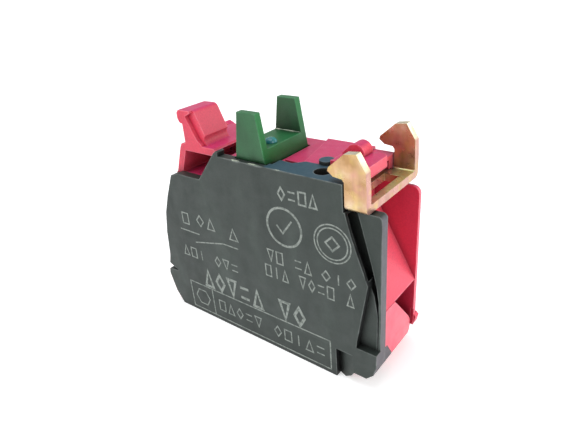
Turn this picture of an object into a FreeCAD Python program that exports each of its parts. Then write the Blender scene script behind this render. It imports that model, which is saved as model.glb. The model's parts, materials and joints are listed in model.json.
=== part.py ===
import FreeCAD, Part
import os
import re
import Sketcher

# Contact block of a 22 mm panel push button: one normally open, double-break contact with
# screw clamp terminals. Millimetres. +Z points to the button head, +X to the end with the
# metal clip, -Y to the printed side cover. The origin is the middle of the base.

os.makedirs("parts", exist_ok=True)
doc = FreeCAD.newDocument("ContactBlock")
vector = FreeCAD.Vector

# ---------------------------------------------------------------- driving dimensions
DIMENSIONS = {
    # outside of the block
    "half_depth": 5.0,           # three blocks sit side by side in a 30 mm wide collar
    "end_x": 15.25,              # half of the overall length
    "top_z": 22.4,               # top edge of the side cover
    "shoulder_z": 19.2,          # top of the cover beside the latch
    "end_top_z": 19.75,          # top of the cover under the clip
    "shell_top_z": 22.1,         # top of the red housing
    "foot_left_x": -13.5,        # flat part of the base
    "foot_right_x": 11.4,
    "cover_wall": 1.0,
    "back_wall": 1.0,
    "floor_z": 1.0,
    "corner_recess": 0.8,        # depth of the sunk corner panel
    "slot_depth": 1.45,          # depth of the slot beside the printed face
    "slot_skin": 0.35,           # printed face left over the slot's undercut
    "end_cover_depth": 1.8,      # how far the cover wraps round the clip end
    "return_thick": 0.8,         # top return of the cover
    "fit": 0.05,                 # play between mouldings that sit in each other
    "peg_x": 7.9,
    "peg_y": -1.35,
    "peg_radius": 0.75,
    "ramp_foot_z": 8.6,          # lower edge of the ramp, upper edge of the wire entry
    # plunger and contact system
    "plunger_x": 0.95,
    "plunger_y": -0.85,
    "contact_travel": 2.6,
    "fork_front_y": -4.4,
    "fork_back_y": 2.6,
    "fork_half": 1.95,           # half width of the fork's foot
    "prong": 0.8,                # thickness of each prong
    "prong_half": 1.15,          # half width of the prongs' tips
    "prong_top_z": 27.2,
    "saddle_z": 23.7,
    "fork_under_z": 21.2,
    "stem_half": 1.85,
    "stem_foot_z": 10.2,
    "sill_z": 12.85,
    "window_top_z": 18.0,
    "rail": 1.1,                 # thickness of the two rails beside the window
    "bridge_z": 12.9,            # underside of the bridge at rest
    "bridge_thick": 0.7,
    "bridge_half": 5.4,
    "bridge_width": 3.0,
    "tip_reach": 4.2,            # from the plunger's middle to each contact
    "tip_radius": 1.0,
    "tip_thick": 0.5,
    "closed_gap": 0.02,
    # conductors and terminals
    "strip_thick": 0.8,
    "strip_width": 5.8,
    "terminal_z": 6.6,           # underside of the terminal plates
    "screw_right_x": 10.1,
    "screw_left_x": -9.6,
    "screw_radius": 1.70,
    "screw_end_z": 9.0,
    "thread_radius": 1.75,
    "nut_side": 4.8,
    "nut_thick": 1.8,
    "head_radius": 2.45,
    "head_z": 1.05,
    "head_top_z": 3.0,
    "washer_thick": 0.9,
    "washer_width": 5.6,
    "access_radius": 2.1,
    # springs
    "contact_spring_radius": 1.1,
    "contact_wire": 0.15,
    "return_spring_radius": 1.6,
    "return_wire": 0.2,
    # clip and latch
    "sheet": 0.8,
    "bend_inside": 0.2,
    "bend_outside": 0.6,
    "web_z": 19.9,
    "clip_end_x": 14.2,
    "ear_left_x": 12.0,
    "ear_gap": 0.15,
    "latch_front_y": -3.95,
    "latch_back_y": 3.8,
    "latch_head_back_y": 0.0,
    "latch_cheek": 0.45,         # thin plate on the front of the latch head
    "latch_plate_z": 22.6,
    "latch_root_x": -10.5,
    "latch_root_z": 19.05,
    "latch_root_radius": 0.4,
}

sheet = doc.addObject("Spreadsheet::Sheet", "Sizes")
for row, (alias, value) in enumerate(DIMENSIONS.items(), start=1):
    sheet.set("A%d" % row, alias)
    sheet.set("B%d" % row, str(value))
    sheet.setAlias("B%d" % row, alias)
doc.recompute()


def bound(formula):
    """The formula with each dimension's name written as a cell of the sheet."""
    return re.sub(r"[a-z][a-z_]+", lambda name: "Sizes." + name.group(0), str(formula))


def number(formula):
    """What a formula of sheet names is worth now, in millimetres."""
    return float(sheet.evalExpression(str(formula)))


def is_formula(value):
    return isinstance(value, str)


# ---------------------------------------------------------------- sketch helpers
# Sketch planes, with the direction that a sketch on them faces.
FACING = {"XY": 1, "XZ": -1, "YZ": 1}


def new_body(label):
    body = doc.addObject("PartDesign::Body", label)
    body.Label = label
    return body


def new_sketch(body, name, plane, position):
    """An empty sketch on one of the body's own planes, moved along the plane's axis."""
    sketch = body.newObject("Sketcher::SketchObject", name)
    role = plane + "_Plane"
    origin_plane = [item for item in body.Origin.OriginFeatures if item.Role == role][0]
    sketch.AttachmentSupport = [(origin_plane, "")]
    sketch.MapMode = "FlatFace"
    sign = "" if FACING[plane] > 0 else "-"
    sketch.setExpression("AttachmentOffset.Base.z", "%s(%s)" % (sign, bound(position)))
    return sketch


def pin(sketch, kind, geometry, point, value):
    """Fix one coordinate of a sketch point from the origin."""
    if is_formula(value):
        index = sketch.addConstraint(Sketcher.Constraint(kind, -1, 1, geometry, point, number(value)))
        sketch.setExpression("Constraints[%d]" % index, bound(value))
    else:
        sketch.addConstraint(Sketcher.Constraint(kind, -1, 1, geometry, point, float(value)))


def draw_outline(sketch, points):
    """A closed outline of straight runs, each corner fixed by its two coordinates."""
    corners = [vector(number(u), number(v), 0) for u, v in points]
    first = sketch.GeometryCount
    count = len(corners)
    for index in range(count):
        following = corners[(index + 1) % count]
        sketch.addGeometry(Part.LineSegment(corners[index], following), False)
    for index in range(count):
        following = first + (index + 1) % count
        sketch.addConstraint(Sketcher.Constraint("Coincident", first + index, 2, following, 1))
    for index, (u, v) in enumerate(points):
        pin(sketch, "DistanceX", first + index, 1, u)
        pin(sketch, "DistanceY", first + index, 1, v)


def draw_circle(sketch, centre, radius):
    u, v = centre
    circle = Part.Circle(vector(number(u), number(v), 0), vector(0, 0, 1), number(radius))
    geometry = sketch.addGeometry(circle, False)
    pin(sketch, "DistanceX", geometry, 3, u)
    pin(sketch, "DistanceY", geometry, 3, v)
    if is_formula(radius):
        index = sketch.addConstraint(Sketcher.Constraint("Radius", geometry, number(radius)))
        sketch.setExpression("Constraints[%d]" % index, bound(radius))
    else:
        sketch.addConstraint(Sketcher.Constraint("Radius", geometry, radius))


def box_outline(u_low, u_high, v_low, v_high):
    return [(u_low, v_low), (u_high, v_low), (u_high, v_high), (u_low, v_high)]


def feature(body, kind, name, plane, low, high, outlines=(), circles=()):
    """A Pad or Pocket between two positions along the plane's axis."""
    adding = kind == "Pad"
    from_low = (FACING[plane] > 0) == adding
    sketch = new_sketch(body, name + "_sketch", plane, low if from_low else high)
    for points in outlines:
        draw_outline(sketch, points)
    for centre, radius in circles:
        draw_circle(sketch, centre, radius)
    step = body.newObject("PartDesign::" + kind, name)
    step.Profile = sketch
    step.setExpression("Length", "(%s) - (%s)" % (bound(high), bound(low)))
    body.Tip = step
    doc.recompute()
    if "Invalid" in step.State or "Invalid" in sketch.State:
        raise RuntimeError("%s of %s failed" % (name, body.Label))
    return step


def pad(body, name, plane, low, high, *outlines, circles=()):
    return feature(body, "Pad", name, plane, low, high, outlines, circles)


def pocket(body, name, plane, low, high, *outlines, circles=()):
    before = body.Shape.Volume
    step = feature(body, "Pocket", name, plane, low, high, outlines, circles)
    if not body.Shape.Volume < before - 1e-4:
        raise RuntimeError("pocket %s of %s cuts nothing" % (name, body.Label))
    return step


def round_edges(body, name, axis, places, radius):
    """Fillet the straight edges along an axis that pass through the given places."""
    across = [index for index in range(3) if index != "XYZ".index(axis)]
    base = body.Tip
    chosen = []
    for index, edge in enumerate(base.Shape.Edges, start=1):
        if edge.Degenerated or not isinstance(edge.Curve, Part.Line):
            continue
        start = edge.Vertexes[0].Point
        end = edge.Vertexes[-1].Point
        for place in places:
            gaps = []
            for point in (start, end):
                for side, wanted in zip(across, place):
                    gaps.append(abs(point[side] - number(wanted)))
            if max(gaps) < 0.02:
                chosen.append("Edge%d" % index)
    if not chosen:
        raise RuntimeError("no edge to round for %s of %s" % (name, body.Label))
    step = body.newObject("PartDesign::Fillet", name)
    step.Base = (base, chosen)
    step.Radius = radius
    body.Tip = step
    doc.recompute()
    if "Invalid" in step.State:
        raise RuntimeError("rounding %s of %s failed" % (name, body.Label))


def spring(label, radius, wire, low, high, turns):
    """A helical compression spring on the plunger's axis, with its ends cut square."""
    helix = doc.addObject("Part::Helix", label + "_helix")
    helix.setExpression("Radius", bound(radius))
    helix.setExpression("Height", "(%s) - (%s)" % (bound(high), bound(low)))
    helix.setExpression("Pitch", "((%s) - (%s)) / %d" % (bound(high), bound(low), turns))
    helix.setExpression("Placement.Base.x", bound("plunger_x"))
    helix.setExpression("Placement.Base.y", bound("plunger_y"))
    helix.setExpression("Placement.Base.z", bound(low))
    helix.SegmentLength = 1  # one curve per turn
    section = doc.addObject("Part::Circle", label + "_section")
    section.setExpression("Radius", bound(wire))
    section.setExpression("Placement.Base.x", "%s + %s" % (bound("plunger_x"), bound(radius)))
    section.setExpression("Placement.Base.y", bound("plunger_y"))
    section.setExpression("Placement.Base.z", bound(low))
    section.Placement.Rotation = FreeCAD.Rotation(vector(1, 0, 0), 90)
    sweep = doc.addObject("Part::Sweep", label)
    sweep.Label = label
    sweep.Sections = [section]
    sweep.Spine = (helix, [])
    sweep.Solid = True
    sweep.Frenet = True
    return sweep


def cylinder(label, x, y, low, high, radius):
    piece = doc.addObject("Part::Cylinder", label)
    piece.Label = label
    piece.setExpression("Radius", bound(radius))
    piece.setExpression("Height", "(%s) - (%s)" % (bound(high), bound(low)))
    piece.setExpression("Placement.Base.x", bound(x))
    piece.setExpression("Placement.Base.y", bound(y))
    piece.setExpression("Placement.Base.z", bound(low))
    return piece


# ---------------------------------------------------------------- casing
FRONT = "-half_depth"
INSIDE_FRONT = "cover_wall - half_depth"
INSIDE_BACK = "half_depth - back_wall"
END_COVER_BACK = "end_cover_depth - half_depth"
PANEL = "corner_recess - half_depth"
SLOT_FLOOR = "slot_depth - half_depth"
EAR_EDGE = "ear_left_x - ear_gap"
PAST_END = "end_x + 0.4"

# Parts of the outline that the cover and the housing share, from the latch to the base.
LATCH_END = [
    (-12.54, 15.9), (-13.5, 13.5), (-14.11, 10.6), (-14.45, 7.2), (-15.1, 4.9),
    ("-end_x", 4.2), (-14.95, 3.0), (-14.55, 1.6),
]
# Bevelled corner at the foot of the clip end.
FOOT_BEVEL = [(14.1, 1.5), (14.9, 2.3)]
# Edge of the printed face beside the sunk corner panel, from the top down to its knee.
KNEE = (14.3, 12.8)
PRINTED_EDGE = [(EAR_EDGE, 20.3), (12.6, 17.55), KNEE]


def make_front_cover():
    """Dark grey side cover: printed wall, wrapped clip end, top return."""
    body = new_body("front_cover")
    wall = [("foot_left_x", 0), ("foot_right_x", 0), (12.3, 0.85), (12.7, 1.5)] + FOOT_BEVEL + [
        ("end_x", 3.5), ("end_x", "end_top_z"), (EAR_EDGE, "end_top_z"),
        (EAR_EDGE, "top_z"), (-3.0, "top_z"),
        (-2.95, "top_z + 0.45"), (-3.2, "top_z + 0.55"), (-3.54, "top_z + 0.28"),
        (-6.43, "shoulder_z"), (-10.1, "shoulder_z"), (-11.15, 18.8),
    ]
    pad(body, "wall", "XZ", FRONT, INSIDE_FRONT, wall + LATCH_END)
    wrapped_end = [(11.45, 1.5)] + FOOT_BEVEL + [
        ("end_x", 3.5), ("end_x", "end_top_z"), (11.45, "end_top_z"),
    ]
    pad(body, "wrapped_end", "XZ", PANEL, END_COVER_BACK, wrapped_end)
    round_edges(body, "end_corner", "Y", [("end_x", "end_top_z")], 0.45)
    # tongue at the lower corner, tapering towards the back and bevelled like the wall
    tongue = [
        (END_COVER_BACK, 1.5), (-1.05, 1.5), (-1.05, 2.25), (-2.15, 4.1), (END_COVER_BACK, 4.1),
    ]
    pad(body, "end_tongue", "YZ", 12.7, 14.9, tongue)
    bevel = [(14.1, 1.4)] + FOOT_BEVEL + [(15.0, 2.3), (15.0, 1.4)]
    pocket(body, "tongue_bevel", "XZ", END_COVER_BACK, -1.0, bevel)
    # top return over the housing, with a stepped inner edge
    top_return = [
        (3.4, INSIDE_FRONT), (EAR_EDGE, INSIDE_FRONT), (EAR_EDGE, -2.4), (9.6, -2.4),
        (9.3, -1.95), (5.9, -1.95), (5.5, -2.4), (4.9, -2.9), (3.4, -2.8),
    ]
    pad(body, "top_return", "XY", "top_z - return_thick", "top_z", top_return)
    pad(body, "top_peg", "XY", "top_z - return_thick", "top_z + 0.35",
        circles=[(("peg_x", "peg_y"), "peg_radius")])
    pocket(body, "top_hole", "XY", "top_z - return_thick", "top_z", circles=[((8.75, -3.3), 0.85)])
    # thin lip in front of the fork
    relief = box_outline("plunger_x - fork_half - 0.2", "plunger_x + fork_half + 0.2", 16.6, "top_z")
    pocket(body, "fork_relief", "XZ", "fork_front_y - 0.1", INSIDE_FRONT, relief)
    # sunk corner panel beside the printed face
    panel = PRINTED_EDGE + [
        (14.05, 11.4), (13.1, 5.9), (13.0, 5.0), (PAST_END, 5.0), (PAST_END, 20.3),
    ]
    pocket(body, "corner_panel", "XZ", FRONT, PANEL, panel)
    # slot along the printed edge, undercut behind the printed face
    slot = [
        (12.0, "end_top_z + 0.1"), (12.8, "end_top_z + 0.1"), (14.3, 14.4), (14.78, 12.3),
        (15.0, 10.6), (15.0, 9.2), (14.9, 9.2), (14.55, 11.3), (14.2, 12.2), KNEE, (12.6, 17.55),
    ]
    pocket(body, "slot", "XZ", PANEL, SLOT_FLOOR, slot)
    undercut = [(11.2, 19.5), (12.3, 19.5), (14.2, 13.2), (13.7, 12.8), (11.9, 17.4)]
    pocket(body, "slot_undercut", "XZ", "slot_skin - half_depth", SLOT_FLOOR, undercut)
    parting = box_outline(14.9, 15.02, 2.4, 9.3)
    pocket(body, "parting_groove", "XZ", PANEL, "0.35 + corner_recess - half_depth", parting)
    # small pry notch in the latch end's edge, stopping short of the wall's inner face
    pry_notch = [(-13.25, 5.15), (-15.2, 4.87), (-15.2, 6.0), (-14.5, 5.7)]
    pocket(body, "pry_notch", "XZ", FRONT, "cover_wall - 0.25 - half_depth", pry_notch)
    # wedge-shaped thumb notch at the lower edge
    notch = [(10.6, "-half_depth - 0.1"), (12.9, "-half_depth - 0.1"), (10.6, -4.25)]
    pocket(body, "thumb_notch", "XY", -0.1, 3.75, notch)
    return body


def make_rear_housing():
    """Red moulded body: walls, chambers, clip seat and wire lead-in."""
    body = new_body("rear_housing")
    shell = [
        ("foot_left_x", 0), ("foot_right_x", 0), (12.7, 1.4), (14.0, 1.7), (14.9, 2.3),
        (14.9, 19.3), (12.5, 19.3), (12.5, "shell_top_z"), (-2.6, "shell_top_z"), (-2.6, 19.0),
        (-11.1, 19.0),
    ]
    pad(body, "shell", "XZ", INSIDE_FRONT, "half_depth", shell + LATCH_END)
    round_edges(body, "end_back_edge", "Z", [(14.9, "half_depth")], 0.7)
    round_edges(body, "end_top_corner", "Y", [(14.9, 19.3)], 0.9)
    round_edges(body, "back_top_edge", "X", [("half_depth", "shell_top_z")], 0.4)
    # wall behind the latch, highest at its root end
    latch_screen = [
        (-11.1, 19.0), (-11.0, 22.3), (-10.7, 22.6), (-10.2, 22.4), (-9.5, 22.05),
        (-7.0, 21.4), (-2.6, 21.2), (-2.6, 19.0),
    ]
    pad(body, "latch_screen", "XZ", "half_depth - back_wall + fit", "half_depth", latch_screen)
    # raised top: plateau, the block between the clip's ears, and the round nib on it
    plateau = [(5.6, -1.85), (3.9, 4.9), (9.6, 4.9), (9.6, -1.85)]
    pad(body, "plateau", "XY", "shell_top_z - 0.1", "shell_top_z + 0.2", plateau)
    clip_block = [(8.6, -1.85), (12.65, -1.85), (12.65, 1.5), (12.3, 1.85), (8.6, 1.85)]
    pad(body, "clip_block", "XY", "shell_top_z - 0.1", "shell_top_z + 0.85", clip_block)
    nib_foot = [(8.2, 22.3), (8.2, 22.6), (9.42, 23.75), (10.05, 23.1), (10.05, 22.3)]
    pad(body, "nib_foot", "XZ", 0.2, 1.8, nib_foot)
    pad(body, "nib", "XZ", 0.2, 1.8, circles=[((10.05, 23.1), 0.95)])
    # small foot at the end of the back wall
    end_foot = [(14.5, 2.8), (15.0, 2.8), (15.15, 3.6), (14.9, 3.9), (14.5, 3.9)]
    pad(body, "end_foot", "XZ", "half_depth - back_wall + 0.1", "half_depth - 0.2", end_foot)
    # the cover's wrapped end, tongue, top return and peg sit in these
    wrapped_end = box_outline(11.4, PAST_END, 1.0, 20.5)
    pocket(body, "end_rebate", "XZ", INSIDE_FRONT, END_COVER_BACK, wrapped_end)
    tongue = [
        (END_COVER_BACK, 1.0), (-1.0, 1.0), (-1.0, 2.27), (-2.12, 4.15), (END_COVER_BACK, 4.15),
    ]
    pocket(body, "tongue_rebate", "YZ", 12.65, PAST_END, tongue)
    return_floor = "top_z - return_thick - fit"
    return_seat = box_outline(3.35, 12.0, INSIDE_FRONT, -1.9)
    pocket(body, "return_seat", "XY", return_floor, "top_z + 1", return_seat)
    pocket(body, "peg_seat", "XY", return_floor, "top_z + 1",
           circles=[(("peg_x", "peg_y"), "peg_radius + fit")])
    below_hole = box_outline(8.05, 9.45, -3.9, -2.7)
    pocket(body, "hole_relief", "XY", 20.9, "top_z", below_hole)
    # chambers
    middle = box_outline("plunger_x - 5.65", "plunger_x + 5.65", "floor_z", 20.9)
    pocket(body, "contact_chamber", "XZ", INSIDE_FRONT, INSIDE_BACK, middle)
    right = box_outline(7.5, 12.6, "floor_z", 11.6)
    pocket(body, "terminal_chamber_right", "XZ", INSIDE_FRONT, INSIDE_BACK, right)
    left = box_outline(-12.6, -5.0, "floor_z", 11.6)
    pocket(body, "terminal_chamber_left", "XZ", INSIDE_FRONT, INSIDE_BACK, left)
    slot = box_outline(-5.1, 7.6, "terminal_z", "terminal_z + strip_thick")
    pocket(body, "strip_slots", "XZ", INSIDE_FRONT, INSIDE_BACK, slot)
    latch_room = box_outline(-10.0, -5.2, 12.6, 18.2)
    pocket(body, "latch_core_out", "XZ", INSIDE_FRONT, INSIDE_BACK, latch_room)
    # groove for the latch's round root
    pocket(body, "latch_root_groove", "XZ", INSIDE_FRONT, INSIDE_BACK,
           circles=[(("latch_root_x", "latch_root_z"), "latch_root_radius + fit")])
    # openings in the top and the floor
    fork_way = box_outline(
        "plunger_x - fork_half - 0.2", "plunger_x + fork_half + 0.2",
        "fork_front_y - 0.3", "fork_back_y + 0.2",
    )
    pocket(body, "fork_opening", "XY", 20.5, "shell_top_z + 1", fork_way)
    for side in ("right", "left"):
        access = (("screw_%s_x" % side, 0), "access_radius")
        pocket(body, "screwdriver_hole_" + side, "XY", -0.5, "floor_z + 0.1", circles=[access])
    # seat for the clip's web, the opening above it, and room for the back ear
    web_seat = box_outline(8.8, PAST_END, "web_z - fit", "web_z + sheet + fit")
    pocket(body, "web_seat", "XZ", INSIDE_FRONT, INSIDE_BACK, web_seat)
    clip_opening = box_outline(11.0, 12.6, "web_z + sheet", "shell_top_z - 0.4")
    pocket(body, "clip_opening", "XZ", -3.9, 3.4, clip_opening)
    behind_block = box_outline(EAR_EDGE, PAST_END, 1.85, INSIDE_BACK)
    pocket(body, "recess_behind_block", "XY", "web_z + sheet", "shell_top_z + 1", behind_block)
    ear_room = box_outline(EAR_EDGE, PAST_END, "web_z - fit", "shell_top_z + 1")
    pocket(body, "ear_room", "XZ", INSIDE_BACK, "half_depth + 0.1", ear_room)
    # clip end: ramp above the wire entry, a three-cornered entry, and its bevelled sill
    ramp = [
        (10.0, 17.6), (14.85, "ramp_foot_z"), (PAST_END, "ramp_foot_z"), (PAST_END, "web_z"),
        (10.0, "web_z"),
    ]
    pocket(body, "ramp", "XZ", END_COVER_BACK, INSIDE_BACK, ramp)
    entry = [(-0.6, "ramp_foot_z"), (3.9, "ramp_foot_z"), (3.9, 3.2)]
    pocket(body, "wire_entry_right", "YZ", 12.4, PAST_END, entry)
    sill = [(15.0, 2.3), (PAST_END, 2.3), (PAST_END, INSIDE_BACK), (14.55, INSIDE_BACK)]
    pocket(body, "sill_bevel", "XY", 1.0, 4.75, sill)
    corner_cut = [(1.4, 1.55), (5.1, 2.9), (5.1, -0.1), (1.4, -0.1)]
    pocket(body, "corner_cut", "YZ", 13.0, PAST_END, corner_cut)
    entry_left = box_outline(-0.4, 3.4, 3.0, "terminal_z - fit")
    pocket(body, "wire_entry_left", "YZ", "-end_x - 0.4", -12.4, entry_left)
    return body


# ---------------------------------------------------------------- moving pieces
def make_latch_lever():
    """Red sprung latch: slanted wall, top plate and hooked head."""
    body = new_body("latch_lever")
    arm = [
        (-11.05, 19.05), (-9.9, 22.0), (-9.6, 22.5), (-9.35, "latch_plate_z"),
        (-4.6, "latch_plate_z"), (-4.4, 22.4), (-5.05, 21.8), (-9.1, 21.8), (-10.15, 19.05),
    ]
    pad(body, "arm", "XZ", "latch_front_y", "latch_back_y", arm)
    neck_and_lip = [
        (-8.9, 22.3), (-8.9, 24.8), (-9.3, 24.9), (-9.53, 25.35), (-9.53, 25.95), (-9.25, 26.28),
    ]
    head = neck_and_lip + [
        (-7.35, 26.32), (-6.1, 23.7), (-6.15, 23.55), (-6.3, 23.5), (-6.3, 22.3),
    ]
    cheek_back = "latch_front_y + latch_cheek"
    pad(body, "head", "XZ", cheek_back, "latch_head_back_y", head)
    round_edges(body, "head_crest", "Y", [(-7.35, 26.32)], 0.6)
    round_edges(body, "head_foot", "Y", [(-6.3, "latch_plate_z")], 0.7)
    # the cheek stands back from the slanted face, which leaves a groove between them
    cheek = neck_and_lip + [
        (-7.6, 26.3), (-7.55, 26.05), (-8.3, 25.65), (-7.15, 23.5), (-6.9, 23.1), (-6.5, 22.85),
        (-6.2, 22.3),
    ]
    pad(body, "cheek", "XZ", "latch_front_y", cheek_back, cheek)
    pad(body, "root", "XZ", "latch_front_y", "latch_back_y",
        circles=[(("latch_root_x", "latch_root_z"), "latch_root_radius")])
    return body


def make_plunger():
    """Green plunger: a fork for the button head, and a stem with the bridge window."""
    body = new_body("plunger")
    fork = [
        ("plunger_x - fork_half", "fork_under_z"), ("plunger_x + fork_half", "fork_under_z"),
        ("plunger_x + fork_half", "fork_under_z + 0.8"), ("plunger_x + prong_half", "prong_top_z"),
        ("plunger_x - prong_half", "prong_top_z"), ("plunger_x - fork_half", "fork_under_z + 0.8"),
    ]
    pad(body, "fork", "XZ", "fork_front_y", "fork_back_y", fork)
    gap = box_outline("plunger_x - fork_half", "plunger_x + fork_half",
                      "saddle_z", "prong_top_z + 0.1")
    pocket(body, "fork_gap", "XZ", "fork_front_y + prong", "fork_back_y - prong", gap)
    stem = box_outline(
        "plunger_x - stem_half", "plunger_x + stem_half",
        "plunger_y - bridge_width / 2 - 0.15 - rail", "plunger_y + bridge_width / 2 + 0.15 + rail",
    )
    pad(body, "stem", "XY", "stem_foot_z", "fork_under_z", stem)
    window = box_outline(
        "plunger_y - bridge_width / 2 - 0.15", "plunger_y + bridge_width / 2 + 0.15",
        "sill_z", "window_top_z",
    )
    pocket(body, "bridge_window", "YZ", "plunger_x - stem_half - 0.1", "plunger_x + stem_half + 0.1",
           window)
    return body


def make_contact_bridge():
    """Moving bridge: a flat bar with narrowed ends over the fixed contacts."""
    body = new_body("contact_bridge")
    near = "plunger_y - bridge_width / 2"
    far = "plunger_y + bridge_width / 2"
    bar = [
        ("plunger_x - bridge_half", near + " + 0.5"), ("plunger_x - bridge_half + 0.6", near),
        ("plunger_x + bridge_half - 0.6", near), ("plunger_x + bridge_half", near + " + 0.5"),
        ("plunger_x + bridge_half", far + " - 0.5"), ("plunger_x + bridge_half - 0.6", far),
        ("plunger_x - bridge_half + 0.6", far), ("plunger_x - bridge_half", far + " - 0.5"),
    ]
    pad(body, "bar", "XY", "bridge_z", "bridge_z + bridge_thick", bar)
    return body


# ---------------------------------------------------------------- metal parts
def make_mounting_clip():
    """Bent sheet clip: a web with a window, and a hook ear at each side."""
    body = new_body("mounting_clip")
    web = [
        (9.0, -3.7), ("ear_left_x", -3.7), ("ear_left_x", "-half_depth"),
        ("clip_end_x", "-half_depth"), ("clip_end_x", "half_depth"),
        ("ear_left_x", "half_depth"), ("ear_left_x", 3.7), (9.0, 3.7),
    ]
    pad(body, "web", "XY", "web_z", "web_z + sheet", web)
    pocket(body, "web_window", "XY", "web_z - 0.1", "web_z + sheet + 0.1",
           box_outline(11.9, "clip_end_x - sheet", -4.0, 2.5))
    ear = [
        ("ear_left_x", "web_z"), ("clip_end_x", "web_z"), ("clip_end_x", 22.0), (14.12, 23.8),
        (13.2, 25.3), (12.05, 25.15), (10.45, 23.72), (10.35, 23.4), (10.9, 22.95),
        (11.8, 22.85), ("ear_left_x", 22.6),
    ]
    pad(body, "front_ear", "XZ", FRONT, "sheet - half_depth", ear)
    pad(body, "back_ear", "XZ", "half_depth - sheet", "half_depth", ear)
    outer_edges = [("-half_depth", "web_z"), ("half_depth", "web_z")]
    round_edges(body, "bend_outside", "X", outer_edges, number("bend_outside"))
    inner_edges = [
        ("sheet - half_depth", "web_z + sheet"), ("half_depth - sheet", "web_z + sheet"),
    ]
    round_edges(body, "bend_inside", "X", inner_edges, number("bend_inside"))
    return body


def make_fixed_strip(side):
    """Fixed conductor: inner leg under the bridge, a step down, and the terminal plate."""
    sign = 1 if side == "right" else -1
    body = new_body("fixed_strip_" + side)
    reach = "plunger_x + %d * " % sign
    outer = 12.4 if side == "right" else -12.2
    leg_top = "bridge_z - tip_thick * 2 - contact_travel - closed_gap - 0.08"
    outline = [
        (reach + "3.05", leg_top + " - strip_thick"), (reach + "4.65", leg_top + " - strip_thick"),
        (reach + "4.65", "terminal_z"), (outer, "terminal_z"),
        (outer, "terminal_z + strip_thick"), (reach + "5.35", "terminal_z + strip_thick"),
        (reach + "5.35", leg_top), (reach + "3.05", leg_top),
    ]
    pad(body, "strip", "XZ", "-strip_width / 2", "strip_width / 2", outline)
    pocket(body, "screw_clearance", "XY", "terminal_z - 0.1", "terminal_z + strip_thick + 0.1",
           circles=[(("screw_%s_x" % side, 0), "screw_radius + 0.2")])
    return body


def make_terminal_nut(side):
    """Square nut lying on the terminal plate."""
    body = new_body("terminal_nut_" + side)
    middle = "screw_%s_x" % side
    square = box_outline(middle + " - nut_side / 2", middle + " + nut_side / 2",
                         "-nut_side / 2", "nut_side / 2")
    low = "terminal_z + strip_thick"
    pad(body, "square", "XY", low, low + " + nut_thick", square,
        circles=[((middle, 0), "thread_radius")])
    return body


def make_clamp_washer(side):
    """Rectangular clamp washer that rides on the screw's head."""
    body = new_body("clamp_washer_" + side)
    middle = "screw_%s_x" % side
    plate = box_outline(middle + " - nut_side / 2", middle + " + nut_side / 2",
                        "-washer_width / 2", "washer_width / 2")
    pad(body, "plate", "XY", "head_top_z + 0.02", "head_top_z + 0.02 + washer_thick", plate,
        circles=[((middle, 0), "thread_radius")])
    return body


def make_terminal_screw(side):
    """Cheese-head clamp screw with a cross recess, head down."""
    body = new_body("terminal_screw_" + side)
    middle = "screw_%s_x" % side
    pad(body, "head", "XY", "head_z", "head_top_z", circles=[((middle, 0), "head_radius")])
    pad(body, "shank", "XY", "head_top_z", "screw_end_z", circles=[((middle, 0), "screw_radius")])
    along = box_outline(middle + " - 2", middle + " + 2", -0.4, 0.4)
    pocket(body, "recess_along", "XY", "head_z - 0.1", "head_z + 0.9", along)
    across = box_outline(middle + " - 0.4", middle + " + 0.4", -2, 2)
    pocket(body, "recess_across", "XY", "head_z - 0.1", "head_z + 0.9", across)
    return body


SIDES = {"left": "plunger_x - tip_reach", "right": "plunger_x + tip_reach"}
FIXED_TOP = "bridge_z - tip_thick - contact_travel - closed_gap"

nodes = [
    make_front_cover(),
    make_rear_housing(),
    make_latch_lever(),
    make_plunger(),
    make_mounting_clip(),
    make_contact_bridge(),
]
for side, tip_x in SIDES.items():
    nodes.append(make_fixed_strip(side))
    nodes.append(make_terminal_nut(side))
    nodes.append(make_clamp_washer(side))
    nodes.append(make_terminal_screw(side))
    nodes.append(cylinder("fixed_tip_" + side, tip_x, "plunger_y",
                          FIXED_TOP + " - tip_thick - 0.08", FIXED_TOP, "tip_radius"))
    nodes.append(cylinder("bridge_tip_" + side, tip_x, "plunger_y",
                          "bridge_z - tip_thick", "bridge_z", "tip_radius"))
nodes.append(spring("contact_spring", "contact_spring_radius", "contact_wire",
                    "bridge_z + bridge_thick + contact_wire + 0.02",
                    "window_top_z - contact_wire - 0.02", 5))
nodes.append(spring("return_spring", "return_spring_radius", "return_wire",
                    "floor_z + return_wire + 0.02", "stem_foot_z - return_wire - 0.02", 7))
doc.recompute()

# ---------------------------------------------------------------- checks and export
for item in doc.Objects:
    if "Invalid" in item.State or "Error" in item.State:
        raise RuntimeError("%s failed: %s" % (item.Name, item.State))
for node in nodes:
    shape = node.Shape
    if shape.isNull() or not shape.isValid() or not shape.Solids:
        raise RuntimeError("%s has no valid solid" % node.Label)
for node in nodes:
    node.Shape.exportStep("parts/%s.step" % node.Label)
    box = node.Shape.BoundBox
    print("%-22s %8.2f mm3  x %.2f %.2f  y %.2f %.2f  z %.2f %.2f  solids %d" % (
        node.Label, node.Shape.Volume, box.XMin, box.XMax, box.YMin, box.YMax,
        box.ZMin, box.ZMax, len(node.Shape.Solids)))
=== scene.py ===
"""Looks of the push button contact block: materials, printed legend, studio and camera.

Everything is in the CAD's own frame: +Z to the button head, +X to the clip, -Y out of the printed
cover. The scene is in metres; measures on the block are written in millimetres, times MM.
"""
import json
import math

import bmesh
import bpy
from mathutils import Matrix, Vector


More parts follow.
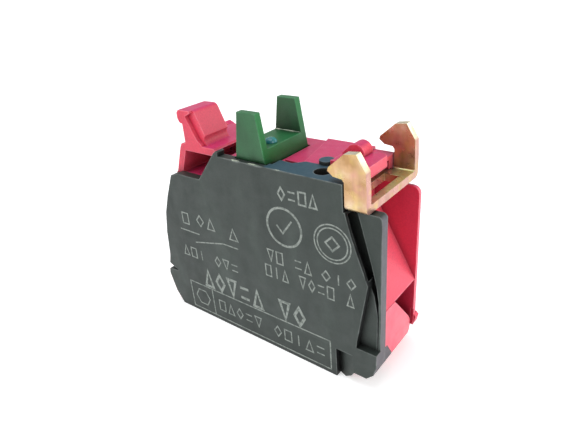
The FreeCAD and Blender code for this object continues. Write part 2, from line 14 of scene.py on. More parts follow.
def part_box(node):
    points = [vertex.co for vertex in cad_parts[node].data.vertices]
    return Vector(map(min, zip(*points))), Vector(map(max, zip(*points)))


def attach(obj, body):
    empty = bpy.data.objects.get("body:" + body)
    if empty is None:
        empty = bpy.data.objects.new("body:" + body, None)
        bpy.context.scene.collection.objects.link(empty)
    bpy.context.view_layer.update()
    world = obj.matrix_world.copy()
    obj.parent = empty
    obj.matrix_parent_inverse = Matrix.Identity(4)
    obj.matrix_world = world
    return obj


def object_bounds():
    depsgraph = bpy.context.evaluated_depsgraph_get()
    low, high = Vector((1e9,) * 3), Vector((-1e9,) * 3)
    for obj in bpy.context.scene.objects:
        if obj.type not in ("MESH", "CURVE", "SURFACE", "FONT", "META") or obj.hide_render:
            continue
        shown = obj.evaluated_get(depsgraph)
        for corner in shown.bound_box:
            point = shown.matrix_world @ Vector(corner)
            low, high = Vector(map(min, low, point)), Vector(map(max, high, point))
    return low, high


MM = 0.001

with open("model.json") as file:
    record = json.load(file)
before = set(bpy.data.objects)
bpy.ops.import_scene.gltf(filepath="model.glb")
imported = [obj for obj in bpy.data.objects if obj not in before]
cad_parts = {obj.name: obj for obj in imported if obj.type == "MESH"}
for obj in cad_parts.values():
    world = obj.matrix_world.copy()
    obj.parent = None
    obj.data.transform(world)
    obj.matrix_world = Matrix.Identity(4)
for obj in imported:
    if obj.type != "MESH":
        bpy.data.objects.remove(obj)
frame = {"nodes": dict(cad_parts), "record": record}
cad_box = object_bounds()
nodes = frame["nodes"]


# ---------------------------------------------------------------- node helpers
OCCLUSION_SAMPLES = 8


class Shader:
    """Short calls for building one material's node tree."""

    def __init__(self, name):
        self.material = bpy.data.materials.new(name)
        self.material.use_nodes = True
        self.tree = self.material.node_tree
        self.bsdf = self.tree.nodes["Principled BSDF"]
        self.place = self.node("ShaderNodeTexCoord").outputs["Object"]

    def node(self, kind, **settings):
        made = self.tree.nodes.new(kind)
        for key, value in settings.items():
            setattr(made, key, value)
        return made

    def link(self, source, target):
        self.tree.links.new(source, target)

    def set(self, name, value):
        self.bsdf.inputs[name].default_value = value

    def drive(self, name, source):
        self.link(source, self.bsdf.inputs[name])

    def noise(self, scale, detail, stretch=None):
        made = self.node("ShaderNodeTexNoise")
        made.inputs["Scale"].default_value = scale
        made.inputs["Detail"].default_value = detail
        place = self.place
        if stretch:
            mapping = self.node("ShaderNodeMapping")
            mapping.inputs["Scale"].default_value = stretch
            self.link(self.place, mapping.inputs["Vector"])
            place = mapping.outputs["Vector"]
        self.link(place, made.inputs["Vector"])
        return made.outputs["Fac"]

    def ramp(self, source, stops):
        """Colours that blend softly from stop to stop."""
        made = self.node("ShaderNodeValToRGB")
        made.color_ramp.interpolation = "EASE"
        elements = made.color_ramp.elements
        while len(elements) < len(stops):
            elements.new(0.5)
        for element, (position, colour) in zip(elements, stops):
            element.position = position
            element.color = (*colour, 1.0)
        self.link(source, made.inputs["Fac"])
        return made.outputs["Color"]

    def fit(self, source, from_range, to_range):
        """The source, with from_range stretched to to_range and held inside it."""
        made = self.node("ShaderNodeMapRange")
        made.inputs["From Min"].default_value, made.inputs["From Max"].default_value = from_range
        made.inputs["To Min"].default_value, made.inputs["To Max"].default_value = to_range
        self.link(source, made.inputs["Value"])
        return made.outputs["Result"]

    def math(self, operation, first, second):
        made = self.node("ShaderNodeMath", operation=operation)
        for socket, value in zip(made.inputs, (first, second)):
            if isinstance(value, (int, float)):
                socket.default_value = value
            else:
                self.link(value, socket)
        return made.outputs["Value"]

    def mix(self, factor, first, second, blend="MIX"):
        made = self.node("ShaderNodeMix", data_type="RGBA", blend_type=blend)
        colours = [socket for socket in made.inputs if socket.type == "RGBA"]
        sockets = (made.inputs["Factor"], colours[0], colours[1])
        for socket, value in zip(sockets, (factor, first, second)):
            if isinstance(value, (int, float)):
                socket.default_value = value
            elif isinstance(value, tuple):
                socket.default_value = (*value, 1.0)
            else:
                self.link(value, socket)
        return [socket for socket in made.outputs if socket.type == "RGBA"][0]

    def axis(self, name):
        """One coordinate of the surface point, in the CAD's frame."""
        split = self.node("ShaderNodeSeparateXYZ")
        self.link(self.place, split.inputs["Vector"])
        return split.outputs[name]

    def facing(self, name):
        """How far the surface faces along a world axis, from -1 to 1."""
        split = self.node("ShaderNodeSeparateXYZ")
        self.link(self.node("ShaderNodeNewGeometry").outputs["Normal"], split.inputs["Vector"])
        return split.outputs[name]

    def crevice_shade(self, distance, dark):
        """Painted shade: 1 in the open, falling to dark in corners and slots."""
        made = self.node("ShaderNodeAmbientOcclusion", samples=OCCLUSION_SAMPLES)
        made.inputs["Distance"].default_value = distance
        return self.fit(made.outputs["AO"], (0.25, 0.85), (dark, 1.0))

    def worn_and_highlit_edge(self, width, patch_scale):
        """1 on patchy stretches of outside edge, 0 on flats: rubbing wear and painted edge
        highlight.
        """
        made = self.node("ShaderNodeAmbientOcclusion", samples=OCCLUSION_SAMPLES, inside=True)
        made.inputs["Distance"].default_value = width
        edge = self.fit(made.outputs["AO"], (0.55, 0.92), (1.0, 0.0))
        patches = self.fit(self.noise(patch_scale, 3), (0.36, 0.62), (0.15, 1.0))
        return self.math("MULTIPLY", edge, patches)

    def bump(self, height, strength, distance):
        made = self.node("ShaderNodeBump")
        made.inputs["Strength"].default_value = strength
        made.inputs["Distance"].default_value = distance
        self.link(height, made.inputs["Height"])
        self.link(made.outputs["Normal"], self.bsdf.inputs["Normal"])


# ---------------------------------------------------------------- materials
FADE = 0.3 * MM              # painted light and shade on faces, held to a stretch of the block, fade out over this length
WHOLE_BLOCK = (-16 * MM, 16 * MM)
CORNER_SHADE_REACH = 1.4 * MM      # painted shade darkens inner corners this far out
HOLLOW_SHADE_REACH = 6.0 * MM      # and painted shade darkens slots, windows and chambers this far
BEND_SHADE_REACH = 0.8 * MM        # painted shade in the bends of the metal parts
EDGE_WEAR_HIGHLIGHT_WIDTH = 0.16 * MM     # how far rubbing and painted edge highlight reach in from an outside edge
MIDDLE_OF_NOISE = (0.3, 0.7)


def paint_light_on_faces(shader, colour, facing, turned_range, along, stretch, tint):
    """The colour, with painted light (a paler tint) and painted shade (a darker tint) on faces
    turned to one axis, over a stretch of another axis.
    """
    first, last = stretch
    turned = shader.fit(shader.facing(facing), turned_range, (0.0, 1.0))
    past_first = shader.fit(shader.axis(along), (first - FADE, first), (0.0, 1.0))
    before_last = shader.fit(shader.axis(along), (last, last + FADE), (1.0, 0.0))
    inside = shader.math("MULTIPLY", past_first, before_last)
    return shader.mix(shader.math("MULTIPLY", turned, inside), colour, tint)


def moulded_plastic(name, shades, light_on_faces, edge_wear_highlight_colour, edge_share, roughness, corner_shade,
                    hollow_shade, grain):
    """Moulded thermoplastic: cloudy tint, fine grain, painted light and shade on faces turned to an
    axis, painted shade in corners and hollows, and paler outside edges from rubbing and painted
    edge highlight.
    """
    shader = Shader(name)
    dark, base, light = shades
    flow = shader.noise(scale=300, detail=3, stretch=(1.0, 1.0, 0.35))
    colour = shader.ramp(flow, [(0.3, dark), (0.52, base), (0.75, light)])
    # painted light and shade on faces turned to an axis
    for facing, x_stretch, tint in light_on_faces:
        colour = paint_light_on_faces(shader, colour, facing, (0.45, 0.9), "X", x_stretch, tint)
    specks = shader.fit(shader.noise(scale=5200, detail=2), MIDDLE_OF_NOISE, (0.93, 1.07))
    speckled = shader.mix(1.0, colour, specks, "MULTIPLY")
    # paler outside edges: rubbing wear and painted edge highlight
    edges = shader.worn_and_highlit_edge(EDGE_WEAR_HIGHLIGHT_WIDTH, patch_scale=800)
    rub_and_highlight = shader.math("MULTIPLY", edges, edge_share)
    worn = shader.mix(rub_and_highlight, speckled, edge_wear_highlight_colour)
    # painted shade in inner corners, and in slots, windows and chambers
    corners = shader.mix(1.0, worn, shader.crevice_shade(CORNER_SHADE_REACH, corner_shade), "MULTIPLY")
    hollows = shader.mix(1.0, corners, shader.crevice_shade(HOLLOW_SHADE_REACH, hollow_shade), "MULTIPLY")
    shader.drive("Base Color", hollows)
    gloss = shader.noise(scale=900, detail=3)
    shader.drive("Roughness", shader.fit(gloss, MIDDLE_OF_NOISE, roughness))
    shader.bump(shader.noise(scale=grain, detail=4), strength=0.3, distance=0.02 * MM)
    shader.set("Specular IOR Level", 0.45)
    return shader


def cover_grey():
    """Matt greenish grey, with a painted bluish reflection on the top return, painted black shade
    on the slot's side wall and paler painted light on the end.
    """
    shader = moulded_plastic(
        "cover_grey",
        shades=((0.020, 0.028, 0.024), (0.029, 0.039, 0.034), (0.042, 0.056, 0.048)),
        # painted bluish reflection on the top return, painted black shade on the slot's side wall,
        # paler painted light on the end
        light_on_faces=[
            ("Z", (3.2 * MM, 11.9 * MM), (0.030, 0.072, 0.102)),
            ("X", (10 * MM, 14.3 * MM), (0.008, 0.010, 0.010)),
            ("X", (14.9 * MM, 16 * MM), (0.105, 0.103, 0.117)),
        ],
        edge_wear_highlight_colour=(0.24, 0.265, 0.255), edge_share=0.55, roughness=(0.46, 0.62),
        corner_shade=0.20, hollow_shade=0.6, grain=3800)
    return shader.material


def red_plastic(name, end_face_light, corner_shade, hollow_shade):
    """Satin red, slightly translucent, with a painted pinkish sheen on upward faces and painted
    light on faces turned to the clip end.
    """
    shader = moulded_plastic(
        name,
        shades=((0.61, 0.029, 0.072), (0.67, 0.036, 0.082), (0.74, 0.048, 0.098)),
        # painted pinkish sheen on upward faces, painted light on faces turned to the clip end
        light_on_faces=[("Z", WHOLE_BLOCK, (0.60, 0.034, 0.135)), ("X", WHOLE_BLOCK, end_face_light)],
        edge_wear_highlight_colour=(0.93, 0.27, 0.35), edge_share=0.55, roughness=(0.30, 0.44),
        corner_shade=corner_shade, hollow_shade=hollow_shade, grain=2600)
    shader.set("Subsurface Weight", 0.22)
    shader.set("Subsurface Radius", (1.0, 0.25, 0.2))
    shader.set("Subsurface Scale", 0.5 * MM)
    return shader.material


def housing_red():
    # painted light on faces turned to the clip end, painted shade in corners and hollows
    return red_plastic("housing_red", (0.96, 0.112, 0.175), corner_shade=0.46, hollow_shade=0.84)


def latch_red():
    """The housing's red on the latch, as a lighter-shaded copy: weaker painted shade in its grooves
    and window, and dimmer painted light on faces turned to the clip end.
    """
    return red_plastic("latch_red", (0.74, 0.080, 0.133), corner_shade=0.85, hollow_shade=0.85)


def plunger_green():
    """Satin deep green, with painted light on faces turned to the clip end and upward, strong
    painted shade in the fork's hollows, and paler outside edges from rubbing and painted edge
    highlight.
    """
    shader = moulded_plastic(
        "plunger_green",
        shades=((0.009, 0.066, 0.019), (0.017, 0.110, 0.035), (0.034, 0.165, 0.063)),
        # painted light on faces turned to the clip end and upward
        light_on_faces=[
            ("X", WHOLE_BLOCK, (0.012, 0.190, 0.045)),
            ("Z", WHOLE_BLOCK, (0.015, 0.140, 0.042)),
        ],
        edge_wear_highlight_colour=(0.13, 0.40, 0.20), edge_share=0.65, roughness=(0.32, 0.46),
        corner_shade=0.30, hollow_shade=0.12, grain=3000)
    return shader.material


def plated_metal(name, shades, patches, roughness, streak_scale, streak_stretch, metallic=1.0,
                 light_on_faces=()):
    """Plated metal: drifting tint, patches of other tints, painted light on faces turned to an
    axis, rolling streaks, painted shade in bends.
    """
    shader = Shader(name)
    dark, base, light = shades
    drift = shader.noise(scale=420, detail=3)
    film = shader.ramp(drift, [(0.3, dark), (0.5, base), (0.72, light)])
    # painted light on faces turned to an axis
    for facing, z_stretch, tint in light_on_faces:
        film = paint_light_on_faces(shader, film, facing, (0.4, 0.8), "Z", z_stretch, tint)
    for scale, share, tint in patches:
        patch = shader.fit(shader.noise(scale, detail=2), (0.5, 0.72), (0.0, share))
        film = shader.mix(patch, film, tint)
    streaks = shader.noise(streak_scale, detail=3, stretch=streak_stretch)
    brushed = shader.mix(1.0, film, shader.fit(streaks, MIDDLE_OF_NOISE, (0.86, 1.1)), "MULTIPLY")
    # painted shade in bends and inner corners
    corners = shader.mix(1.0, brushed, shader.crevice_shade(BEND_SHADE_REACH, 0.45), "MULTIPLY")
    shader.drive("Base Color", corners)
    gloss = shader.noise(scale=1300, detail=4)
    shader.drive("Roughness", shader.fit(gloss, MIDDLE_OF_NOISE, roughness))
    shader.bump(streaks, strength=0.25, distance=0.008 * MM)
    shader.set("Metallic", metallic)
    return shader.material


def clip_plated_steel():
    """Yellow passivated zinc: gold with pink and straw patches. Painted reflections tint the tops
    of the web and ears and the upright edges, and a painted highlight makes the ears' slanted cut
    edges pale.
    """
    web_height = (19 * MM, 21.5 * MM)
    ear_tops = (24.5 * MM, 28 * MM)
    upright_edges = (19 * MM, 23.7 * MM)
    slanted_edges = (24.0 * MM, 28 * MM)
    return plated_metal(
        "clip_plated_steel",
        shades=((0.44, 0.25, 0.11), (0.60, 0.37, 0.20), (0.78, 0.60, 0.42)),
        # painted reflections on the web's and ears' tops and the upright edges, painted highlight
        # on the slanted edges
        light_on_faces=[
            ("Z", web_height, (0.50, 0.56, 0.30)), ("Z", ear_tops, (0.82, 0.74, 0.56)),
            ("X", upright_edges, (0.61, 0.34, 0.275)), ("X", slanted_edges, (0.95, 0.86, 0.64)),
        ],
        patches=[(520, 0.7, (0.68, 0.32, 0.29)), (700, 0.7, (0.66, 0.50, 0.15))],
        roughness=(0.24, 0.40), streak_scale=1500, streak_stretch=(1.0, 1.0, 0.16), metallic=0.85)


def contact_copper():
    return plated_metal(
        "contact_copper",
        shades=((0.52, 0.27, 0.13), (0.70, 0.41, 0.22), (0.82, 0.55, 0.34)),
        patches=[(600, 0.4, (0.45, 0.25, 0.17))],
        roughness=(0.26, 0.42), streak_scale=1700, streak_stretch=(0.15, 1.0, 1.0))


def silver_tip():
    return plated_metal(
        "silver_tip",
        shades=((0.62, 0.61, 0.58), (0.78, 0.77, 0.74), (0.88, 0.87, 0.85)),
        patches=[(1500, 0.35, (0.42, 0.40, 0.36))],
        roughness=(0.30, 0.46), streak_scale=2600, streak_stretch=(1.0, 1.0, 1.0))


def terminal_steel():
    return plated_metal(
        "terminal_steel",
        shades=((0.46, 0.46, 0.45), (0.63, 0.62, 0.60), (0.76, 0.76, 0.75)),
        patches=[(900, 0.3, (0.55, 0.54, 0.60))],
        roughness=(0.24, 0.40), streak_scale=1900, streak_stretch=(1.0, 1.0, 0.2))


def spring_steel():
    return plated_metal(
        "spring_steel",
        shades=((0.40, 0.40, 0.42), (0.54, 0.54, 0.56), (0.68, 0.68, 0.69)),
        patches=[(1200, 0.3, (0.38, 0.36, 0.34))],
        roughness=(0.22, 0.36), streak_scale=2400, streak_stretch=(1.0, 1.0, 0.3))


def mottled(name, drift, stops, gloss_scale, roughness, grain, bump_strength, bump_height):
    """Colour and gloss that drift, with a fine grain; drift and grain are scale and detail."""
    shader = Shader(name)
    shader.drive("Base Color", shader.ramp(shader.noise(*drift), stops))
    gloss = shader.noise(gloss_scale, detail=2)
    shader.drive("Roughness", shader.fit(gloss, MIDDLE_OF_NOISE, roughness))
    shader.bump(shader.noise(*grain), bump_strength, bump_height)
    return shader.material


def printed_ink():
    """Thin pale grey pad print, uneven and slightly worn through."""
    return mottled(
        "printed_ink", (2600, 4), [(0.36, (0.13, 0.15, 0.135)), (0.56, (0.26, 0.285, 0.26))],
        gloss_scale=3200, roughness=(0.5, 0.68),
        grain=(6000, 3), bump_strength=0.2, bump_height=0.006 * MM)


def teal_bead():
    """Glossy teal-blue bead in the fork's saddle."""
    return mottled(
        "teal_bead", (1500, 3), [(0.35, (0.02, 0.14, 0.16)), (0.65, (0.05, 0.27, 0.27))],
        gloss_scale=2500, roughness=(0.14, 0.26),
        grain=(3800, 2), bump_strength=0.15, bump_height=0.01 * MM)


def pale_line():
    """Pale hair-thin line colour: a painted highlight along the cover's top edge, and a pale line
    along the far prong's base.
    """
    return mottled(
        "pale_line", (1900, 4), [(0.38, (0.20, 0.26, 0.19)), (0.6, (0.50, 0.54, 0.42))],
        gloss_scale=2400, roughness=(0.5, 0.7),
        grain=(5200, 3), bump_strength=0.3, bump_height=0.01 * MM)


SLOT_MATERIALS = {
    "cover_grey": cover_grey(),
    "housing_red": housing_red(),
    "plunger_green": plunger_green(),
    "clip_plated_steel": clip_plated_steel(),
    "contact_copper": contact_copper(),
    "silver_tip": silver_tip(),
    "terminal_steel": terminal_steel(),
    "spring_steel": spring_steel(),
}
NODE_MATERIALS = {"latch_lever": latch_red()}
INK = printed_ink()
TEAL = teal_bead()
PALE_LINE = pale_line()

# ---------------------------------------------------------------- CAD nodes: material and edges
# Radius of each node's moulded or stamped edges.
EDGE_RADII = {
    "front_cover": 0.10 * MM, "rear_housing": 0.12 * MM, "latch_lever": 0.22 * MM,
    "plunger": 0.16 * MM, "mounting_clip": 0.14 * MM, "contact_bridge": 0.10 * MM,
}
SMALL_EDGE = 0.06 * MM
WITHOUT_EDGES = ("contact_spring", "return_spring")
WELD_DISTANCE = 0.002 * MM
FLAT_ANGLE = math.radians(0.5)     # faces closer to one plane than this become one face
EDGE_ANGLE = math.radians(32)      # sharper bends than this are edges
EDGE_STEPS = 3


def soften_edges(obj, radius):
    """Round the sharp edges of a CAD node with modifiers, leaving its own vertices alone."""
    for name in ("custom_normal", "sharp_edge", "sharp_face"):
        stored = obj.data.attributes.get(name)
        if stored:
            obj.data.attributes.remove(stored)
    weld = obj.modifiers.new("weld", "WELD")
    weld.merge_threshold = WELD_DISTANCE
    flat = obj.modifiers.new("flat_faces", "DECIMATE")
    flat.decimate_type = "DISSOLVE"
    flat.angle_limit = FLAT_ANGLE
    bevel = obj.modifiers.new("edges", "BEVEL")
    bevel.width = radius
    bevel.segments = EDGE_STEPS
    bevel.limit_method = "ANGLE"
    bevel.angle_limit = EDGE_ANGLE
    bevel.harden_normals = True


for part in frame["record"]["subparts"]:
    name = part["node"]
    obj = nodes[name]
    obj.data.materials.clear()
    obj.data.materials.append(NODE_MATERIALS.get(name, SLOT_MATERIALS[part["material_slot"]]))
    for polygon in obj.data.polygons:
        polygon.use_smooth = True
    if name not in WITHOUT_EDGES:
        soften_edges(obj, EDGE_RADII.get(name, SMALL_EDGE))


# ---------------------------------------------------------------- piece helpers
def join_rings(build, rings):
    """Faces between each ring of vertices and the next."""
    for lower, upper in zip(rings, rings[1:]):
        around = len(lower)
        for step in range(around):
            following = (step + 1) % around
            build.faces.new((lower[step], lower[following], upper[following], upper[step]))


def cap_ends(build, rings):
    build.faces.new(rings[0][::-1])
    build.faces.new(rings[-1])


def finish_piece(build, name, material, body):
    """The built mesh as a piece of its own, riding on a body."""
    bmesh.ops.recalc_face_normals(build, faces=build.faces)
    mesh = bpy.data.meshes.new(name)
    build.to_mesh(mesh)
    build.free()
    mesh.materials.append(material)
    piece = bpy.data.objects.new(name, mesh)
    bpy.context.scene.collection.objects.link(piece)
    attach(piece, body)
    return piece


# ---------------------------------------------------------------- printed legend
# The real block's words, numbers and marks are left out. Rows of plain squares, triangles,
# diamonds and bars stand in for them, about as large and in the same places. Places on the
# cover's face are x, z in millimetres.
FACE_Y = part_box("front_cover")[0].y
INK_PROUD = 0.012 * MM
INK_SUNK = 0.02 * MM
FINEST = 0.13                # stroke widths, in millimetres
FINE = 0.14
MEDIUM = 0.18
STRONG = 0.24
BOLD = 0.34
GLYPH_SHARE = 0.66           # how much of its pitch a stand-in character fills
SHARPEST_MITRE = 0.5


def offset_sides(points, width, closed):
    """Points to the left and right of a line, with mitred bends."""
    count = len(points)
    left, right = [], []
    for index, point in enumerate(points):
        before = points[index - 1] if closed or index else None
        after = points[(index + 1) % count] if closed or index < count - 1 else None
        incoming = (point - before).normalized() if before else (after - point).normalized()
        outgoing = (after - point).normalized() if after else incoming
        along = (incoming + outgoing).normalized()
        across = Vector((-along.y, along.x))
        cosine = across.dot(Vector((-incoming.y, incoming.x)))
        reach = width / 2 / max(cosine, SHARPEST_MITRE)
        left.append(point + across * reach)
        right.append(point - across * reach)
    return left, right


def ink_line(build, points, width, closed=False):
    """A thin flat slab of ink along a line of x, z points on the cover's face."""
    line = [Vector(point) * MM for point in points]
    rings = []
    for near, far in zip(*offset_sides(line, width * MM, closed)):
        section = (
            (near, FACE_Y - INK_PROUD), (far, FACE_Y - INK_PROUD),
            (far, FACE_Y + INK_SUNK), (near, FACE_Y + INK_SUNK),
        )
        rings.append([build.verts.new((place.x, y, place.y)) for place, y in section])
    if closed:
        join_rings(build, rings + rings[:1])
    else:
        join_rings(build, rings)
        cap_ends(build, rings)


def ring_points(centre, radius, steps=48):
    x, z = centre
    turns = [math.tau * step / steps for step in range(steps)]
    return [(x + radius * math.cos(turn), z + radius * math.sin(turn)) for turn in turns]


# Stand-in characters: strokes in a unit square, each with whether it closes on itself.
GLYPHS = {
    "s": [([(0, 0), (1, 0), (1, 1), (0, 1)], True)],
    "t": [([(0, 0), (1, 0), (0.5, 1)], True)],
    "v": [([(0, 1), (1, 1), (0.5, 0)], True)],
    "d": [([(0.5, 0), (1, 0.5), (0.5, 1), (0, 0.5)], True)],
    "i": [([(0.5, 0), (0.5, 1)], False)],
    "=": [([(0, 0.2), (1, 0.2)], False), ([(0, 0.8), (1, 0.8)], False)],
}


def glyph(build, kind, x, z, width, height, stroke_width):
    for points, closed in GLYPHS[kind]:
        placed = [(x + width * u, z + height * v) for u, v in points]
        ink_line(build, placed, stroke_width, closed)


def row_of_marks(build, left, right, low_z, high_z, pattern, stroke_width):
    """A row of stand-in characters between two ends; a space leaves a gap."""
    pitch = (right - left) / len(pattern)
    for index, kind in enumerate(pattern):
        if kind != " ":
            x = left + index * pitch
            glyph(build, kind, x, low_z, pitch * GLYPH_SHARE, high_z - low_z, stroke_width)


def draw_contact_symbol(build):
    """Normally open contact: two wires and a lifted blade."""
    ink_line(build, [(-11.17, 11.95), (-7.95, 11.95)], FINE)
    ink_line(build, [(-8.83, 10.67), (-4.1, 11.83), (-1.84, 11.83)], FINE)


def draw_terminal_marks(build):
    glyph(build, "s", -10.45, 12.9, 1.0, 1.4, FINE)
    glyph(build, "t", -2.9, 12.8, 1.2, 1.4, FINE)


def draw_type_marks(build):
    row_of_marks(build, -8.0, -4.6, 13.15, 14.55, "dt", FINE)


def draw_rating_row(build):
    row_of_marks(build, -11.3, -1.9, 8.35, 9.65, "tsi dv=", FINE)


def draw_model_row(build):
    row_of_marks(build, -8.25, 7.4, 4.75, 7.05, "tdv=t vd", BOLD)


def draw_name_frame(build):
    ink_line(build, [(-11.25, 0.55), (9.9, 0.55), (9.9, 4.4), (-11.25, 4.4)], FINE, closed=True)
    ink_line(build, [(-7.4, 0.55), (-7.4, 4.4)], FINE)


def draw_name_marks(build):
    row_of_marks(build, -6.4, 9.6, 1.75, 3.2, "std=v dsit=", FINE)
    ink_line(build, ring_points((-9.3, 2.5), 1.2, steps=6), FINE, closed=True)


def draw_ring_mark(build):
    """Plain ring with a fine tick in it."""
    ink_line(build, ring_points((5.0, 16.4), 2.1), STRONG, closed=True)
    ink_line(build, [(4.1, 16.5), (4.8, 15.7), (6.0, 17.3)], MEDIUM)


def draw_double_ring_mark(build):
    """Two plain closed rings, one in the other, with a diamond in the middle."""
    centre = (10.6, 16.2)
    for radius in (2.0, 1.65):
        ink_line(build, ring_points(centre, radius), FINEST, closed=True)
    glyph(build, "d", 9.85, 15.45, 1.5, 1.5, MEDIUM)


def draw_approval_rows(build):
    row_of_marks(build, 2.5, 8.4, 11.85, 13.25, "vs =t", FINE)
    row_of_marks(build, 9.3, 13.5, 11.85, 13.0, "did", FINE)
    row_of_marks(build, 2.0, 13.2, 9.85, 11.25, "sit vd=s t", FINE)


def draw_date_row(build):
    row_of_marks(build, 4.6, 9.5, 19.4, 20.7, "d=st", MEDIUM)


LEGEND = {
    "legend_contact_symbol": draw_contact_symbol, "legend_terminal_marks": draw_terminal_marks,
    "legend_type_marks": draw_type_marks, "legend_rating_row": draw_rating_row,
    "legend_model_row": draw_model_row, "legend_name_frame": draw_name_frame,
    "legend_name_marks": draw_name_marks, "legend_ring": draw_ring_mark,
    "legend_double_ring": draw_double_ring_mark, "legend_approval_rows": draw_approval_rows,
    "legend_date_row": draw_date_row,
}
for name, draw in LEGEND.items():
    build = bmesh.new()
    draw(build)
    finish_piece(build, name, INK, "housing")


# ---------------------------------------------------------------- saddle bead, pale line and painted edge highlights
def add_saddle_bead():
    """Low glossy dome on the saddle between the fork's prongs."""
    centre = Vector((1.62, -1.85, 23.68)) * MM
    radius = 0.66 * MM
    rise = 0.5 * MM
    around = 32
    levels = 8
    build = bmesh.new()
    rings = []
    for level in range(levels):
        lift = math.radians(90 * level / levels)
        z = centre.z + rise * math.sin(lift)
        reach = radius * math.cos(lift)
        turns = [math.tau * step / around for step in range(around)]
        rings.append([build.verts.new((
            centre.x + reach * math.cos(turn), centre.y + reach * math.sin(turn), z))
            for turn in turns])
    join_rings(build, rings)
    tip = build.verts.new((centre.x, centre.y, centre.z + rise))
    for step in range(around):
        build.faces.new((rings[-1][step], rings[-1][(step + 1) % around], tip))
    build.faces.new(rings[0][::-1])
    bead = finish_piece(build, "saddle_bead", TEAL, "plunger")
    for polygon in bead.data.polygons:
        polygon.use_smooth = len(polygon.vertices) < around


def add_hairline(name, body, y, z, stations):
    """A pale hair-thin line along x; each station is its x and its thickness, in millimetres."""
    build = bmesh.new()
    rings = []
    for x, thickness in stations:
        half = thickness / 2
        diamond = ((x, y - half, z), (x, y, z + half), (x, y + half, z), (x, y, z - half))
        rings.append([build.verts.new(Vector(corner) * MM) for corner in diamond])
    join_rings(build, rings)
    cap_ends(build, rings)
    finish_piece(build, name, PALE_LINE, body)


add_saddle_bead()
# a pale hair-thin line along the far prong's base
add_hairline("prong_base_line", "plunger", 1.79, 23.71,
             [(-0.8, 0.06), (-0.3, 0.15), (0.3, 0.09), (1.0, 0.16), (1.9, 0.1), (2.55, 0.05)])
# painted highlights along the cover's top edge, at the lip and beside it
add_hairline("lip_highlight_left", "housing", -4.93, 22.36,
             [(-1.35, 0.03), (-0.9, 0.2), (-0.2, 0.14), (0.25, 0.04)])
add_hairline("lip_highlight_right", "housing", -4.93, 22.36,
             [(0.8, 0.03), (1.2, 0.14), (1.9, 0.2), (2.6, 0.1), (2.9, 0.03)])
add_hairline("top_edge_highlight", "housing", -4.96, 22.37,
             [(4.1, 0.03), (4.7, 0.11), (5.4, 0.06), (6.4, 0.02)])

# ---------------------------------------------------------------- floor, light and camera
low, high = cad_box
middle = (low + high) / 2

FLOOR_HALF = 3.0                   # in metres, so that its end isn't seen in low views
FLOOR_GAP = 0.01 * MM
FLOOR_GLOW = (0.4, 0.6)            # near the block, so that its shadow shows, and far away
GLOW_DISTANCES = (0.3, 0.9)
WORLD_LIGHT = 0.55                 # strength of the surroundings as light
WORLD_SEEN = 1.0                   # and as the background behind the block
CAMERA_ANGLES = (39.69, 27.12, -4.71)      # azimuth, elevation and roll, in degrees
CAMERA_PLACE = Vector((32.76, -37.60, 39.51)) * MM
LENS, SENSOR = 31.08, 36.0
WHITE = (1.0, 1.0, 1.0)


def floor_paper():
    """White paper that glows a little more far away, so that no horizon shows."""
    shader = Shader("floor_paper")
    pale, paler = (0.90, 0.90, 0.90), (0.93, 0.93, 0.93)
    paper = shader.ramp(shader.noise(scale=60, detail=3), [(0.3, pale), (0.7, paler)])
    shader.drive("Base Color", paper)
    shader.set("Roughness", 0.9)
    shader.set("Emission Color", (*WHITE, 1.0))
    away = shader.node("ShaderNodeVectorMath", operation="LENGTH")
    shader.link(shader.place, away.inputs[0])
    shader.drive("Emission Strength", shader.fit(away.outputs["Value"], GLOW_DISTANCES, FLOOR_GLOW))
    shader.bump(shader.noise(scale=1500, detail=3), strength=0.05, distance=0.01 * MM)
    return shader.material


def add_floor():
    """A broad pale plane under the base."""
    mesh = bpy.data.meshes.new("floor")
    build = bmesh.new()
    z = low.z - FLOOR_GAP
    signs = ((-1, -1), (1, -1), (1, 1), (-1, 1))
    build.faces.new([build.verts.new((x * FLOOR_HALF, y * FLOOR_HALF, z)) for x, y in signs])
    build.to_mesh(mesh)
    build.free()
    mesh.materials.append(floor_paper())
    floor = bpy.data.objects.new("floor", mesh)
    bpy.context.scene.collection.objects.link(floor)


def add_light(name, place, size, power, tone):
    """A soft square lamp at a place, aimed at the block."""
    data = bpy.data.lights.new(name, "AREA")
    data.shape = "SQUARE"
    data.size = size
    data.energy = power
    data.color = tone
    lamp = bpy.data.objects.new(name, data)
    lamp.location = Vector(place)
    lamp.rotation_mode = "QUATERNION"
    lamp.rotation_quaternion = (middle - lamp.location).to_track_quat("-Z", "Y")
    bpy.context.scene.collection.objects.link(lamp)


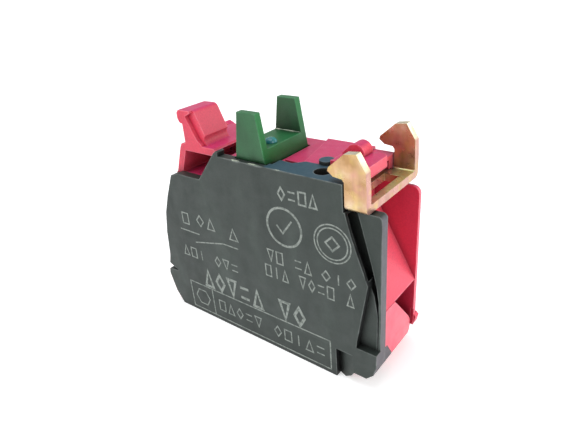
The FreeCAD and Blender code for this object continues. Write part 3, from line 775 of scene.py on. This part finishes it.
def add_world():
    """Even white surroundings, dimmer as light than as background, so that shading is kept."""
    world = bpy.data.worlds.new("studio")
    world.use_nodes = True
    tree = world.node_tree
    background = tree.nodes["Background"]
    background.inputs["Color"].default_value = (*WHITE, 1.0)
    seen = tree.nodes.new("ShaderNodeLightPath").outputs["Is Camera Ray"]
    strength = tree.nodes.new("ShaderNodeMapRange")
    strength.inputs["To Min"].default_value = WORLD_LIGHT
    strength.inputs["To Max"].default_value = WORLD_SEEN
    tree.links.new(seen, strength.inputs["Value"])
    tree.links.new(strength.outputs["Result"], background.inputs["Strength"])
    bpy.context.scene.world = world


def add_camera():
    """Close perspective view of the printed cover and the clip end, from above."""
    azimuth, elevation, roll = (math.radians(angle) for angle in CAMERA_ANGLES)
    outward = Vector((math.sin(azimuth), -math.cos(azimuth), 0.0))
    forward = -outward * math.cos(elevation) - Vector((0.0, 0.0, math.sin(elevation)))
    level = Vector((math.cos(azimuth), math.sin(azimuth), 0.0))
    upright = level.cross(forward)
    right = level * math.cos(roll) + upright * math.sin(roll)
    up = upright * math.cos(roll) - level * math.sin(roll)
    data = bpy.data.cameras.new("camera")
    data.sensor_width = SENSOR
    data.lens = LENS
    data.clip_start = 1 * MM
    data.clip_end = 10.0
    camera = bpy.data.objects.new("camera", data)
    turn = Matrix((right, up, -forward)).transposed().to_4x4()
    camera.matrix_world = Matrix.Translation(CAMERA_PLACE) @ turn
    bpy.context.scene.collection.objects.link(camera)
    bpy.context.scene.camera = camera


add_floor()
add_light("top_box", (-0.05, -0.02, 0.30), size=0.25, power=0.42, tone=(0.88, 0.95, 1.0))
add_light("front_box", (-0.12, -0.26, 0.16), size=0.20, power=0.22, tone=(0.97, 1.0, 0.98))
add_light("end_box", (0.30, -0.05, 0.16), size=0.20, power=0.28, tone=(1.0, 0.98, 0.96))
add_light("back_box", (0.18, 0.26, 0.12), size=0.16, power=0.14, tone=WHITE)
add_world()
add_camera()
bpy.context.scene.view_settings.view_transform = "Standard"
